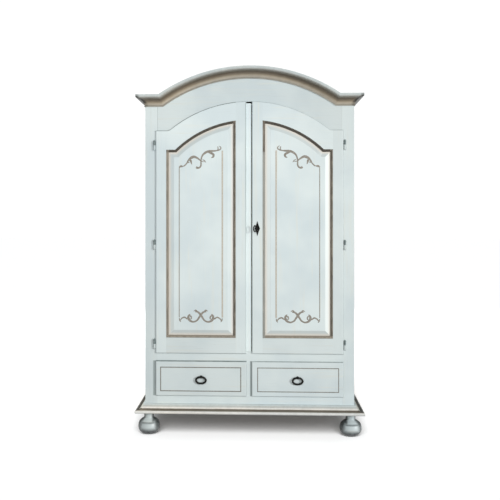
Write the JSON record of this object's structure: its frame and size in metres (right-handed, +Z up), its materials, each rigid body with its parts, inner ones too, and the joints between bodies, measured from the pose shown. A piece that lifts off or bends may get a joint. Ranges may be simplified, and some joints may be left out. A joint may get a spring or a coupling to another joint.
{
  "type": "wardrobe",
  "caption": "Painted wardrobe with an arched cornice, arched panelled doors with barrel hinges and a lock, drawers below with ring pulls, and bun feet.",
  "frame": {"origin": "on the floor under the middle of the overall box", "axes": "+X to the right of a person facing the doors, +Y to the back, +Z up"},
  "size_m": [1.3004, 0.6152, 2.1],
  "materials": {
    "painted_wood": "satin paint over pine, faint brush marks",
    "natural_wood": "waxed pine",
    "brown_bead": "antique brown glaze",
    "painted_hinge": "painted over with the frame",
    "dark_iron": "blackened, lightly worn",
    "lock_steel": "zinc plated"
  },
  "bodies": {
    "carcass": {"left_side_panel": "painted_wood", "right_side_panel": "painted_wood", "base_board": "painted_wood", "front_left_foot": "painted_wood", "front_right_foot": "painted_wood", "rear_left_foot": "painted_wood", "rear_right_foot": "painted_wood", "back_boards": "natural_wood", "top_panel": "natural_wood", "compartment_floor": "natural_wood", "drawer_partition": "natural_wood", "left_frame_stile": "painted_wood", "right_frame_stile": "painted_wood", "mid_rail": "painted_wood", "bottom_rail": "painted_wood", "drawer_divider": "painted_wood", "frieze": "painted_wood", "cornice_arch": "painted_wood", "left_cornice_shoulder": "painted_wood", "right_cornice_shoulder": "painted_wood", "left_cornice_return": "painted_wood", "right_cornice_return": "painted_wood", "front_base_moulding": "painted_wood", "left_base_moulding": "painted_wood", "right_base_moulding": "painted_wood", "frame_hinges": "painted_hinge", "drawer_runners": "natural_wood", "hat_shelf": "natural_wood", "hanging_rail": "natural_wood", "battens": "natural_wood"},
    "left_door": {"left_door_hinge_stile": "painted_wood", "left_door_meeting_stile": "painted_wood", "left_door_bottom_rail": "painted_wood", "left_door_top_rail": "painted_wood", "left_door_panel": "painted_wood", "left_door_bead": "brown_bead", "left_door_hinges": "dark_iron", "meeting_strip": "painted_wood"},
    "right_door": {"right_door_hinge_stile": "painted_wood", "right_door_meeting_stile": "painted_wood", "right_door_bottom_rail": "painted_wood", "right_door_top_rail": "painted_wood", "right_door_panel": "painted_wood", "right_door_bead": "brown_bead", "right_door_hinges": "dark_iron", "lock_case": "lock_steel", "escutcheon": "dark_iron"},
    "left_drawer": {"left_drawer_front": "painted_wood", "left_drawer_box": "natural_wood", "left_drawer_bottom": "natural_wood", "left_drawer_eye": "dark_iron"},
    "right_drawer": {"right_drawer_front": "painted_wood", "right_drawer_box": "natural_wood", "right_drawer_bottom": "natural_wood", "right_drawer_eye": "dark_iron"},
    "left_ring": {"left_drawer_ring": "dark_iron"},
    "right_ring": {"right_drawer_ring": "dark_iron"},
    "key": {"key_stem": "dark_iron"},
    "bow": {"key_bow": "dark_iron"},
    "bolt": {"lock_bolt": "lock_steel"}
  },
  "joints": [
    {"name": "left_door_hinge", "type": "hinge", "parent": "carcass", "child": "left_door", "pos_m": [-0.5415, -0.2598, 1.0875], "axis": [0, 0, -1], "range_deg": [0, 165]},
    {"name": "right_door_hinge", "type": "hinge", "parent": "carcass", "child": "right_door", "pos_m": [0.5415, -0.2598, 1.0875], "axis": [0, 0, 1], "range_deg": [0, 165]},
    {"name": "left_drawer_slide", "type": "slide", "parent": "carcass", "child": "left_drawer", "axis": [0, -1, 0], "range_m": [0, 0.38]},
    {"name": "right_drawer_slide", "type": "slide", "parent": "carcass", "child": "right_drawer", "axis": [0, -1, 0], "range_m": [0, 0.38]},
    {"name": "left_ring_swing", "type": "hinge", "parent": "left_drawer", "child": "left_ring", "pos_m": [-0.2745, -0.2695, 0.334], "axis": [-1, 0, 0], "range_deg": [0, 100]},
    {"name": "right_ring_swing", "type": "hinge", "parent": "right_drawer", "child": "right_ring", "pos_m": [0.2745, -0.2695, 0.334], "axis": [-1, 0, 0], "range_deg": [0, 100]},
    {"name": "key_turn", "type": "hinge", "parent": "right_door", "child": "key", "pos_m": [0.0465, -0.26, 1.18], "axis": [0, -1, 0], "range_deg": [0, 180]},
    {"name": "key_bow_fold", "type": "hinge", "parent": "key", "child": "bow", "pos_m": [0.0465, -0.2751, 1.18], "axis": [0, 0, 1], "range_deg": [0, 108]},
    {"name": "lock_bolt_slide", "type": "slide", "parent": "right_door", "child": "bolt", "axis": [-1, 0, 0], "range_m": [0, 0.011]}
  ],
  "couplings": [
    {"joint": "lock_bolt_slide", "follows": "key_turn", "m_per_rad": 0.0035}
  ]
}
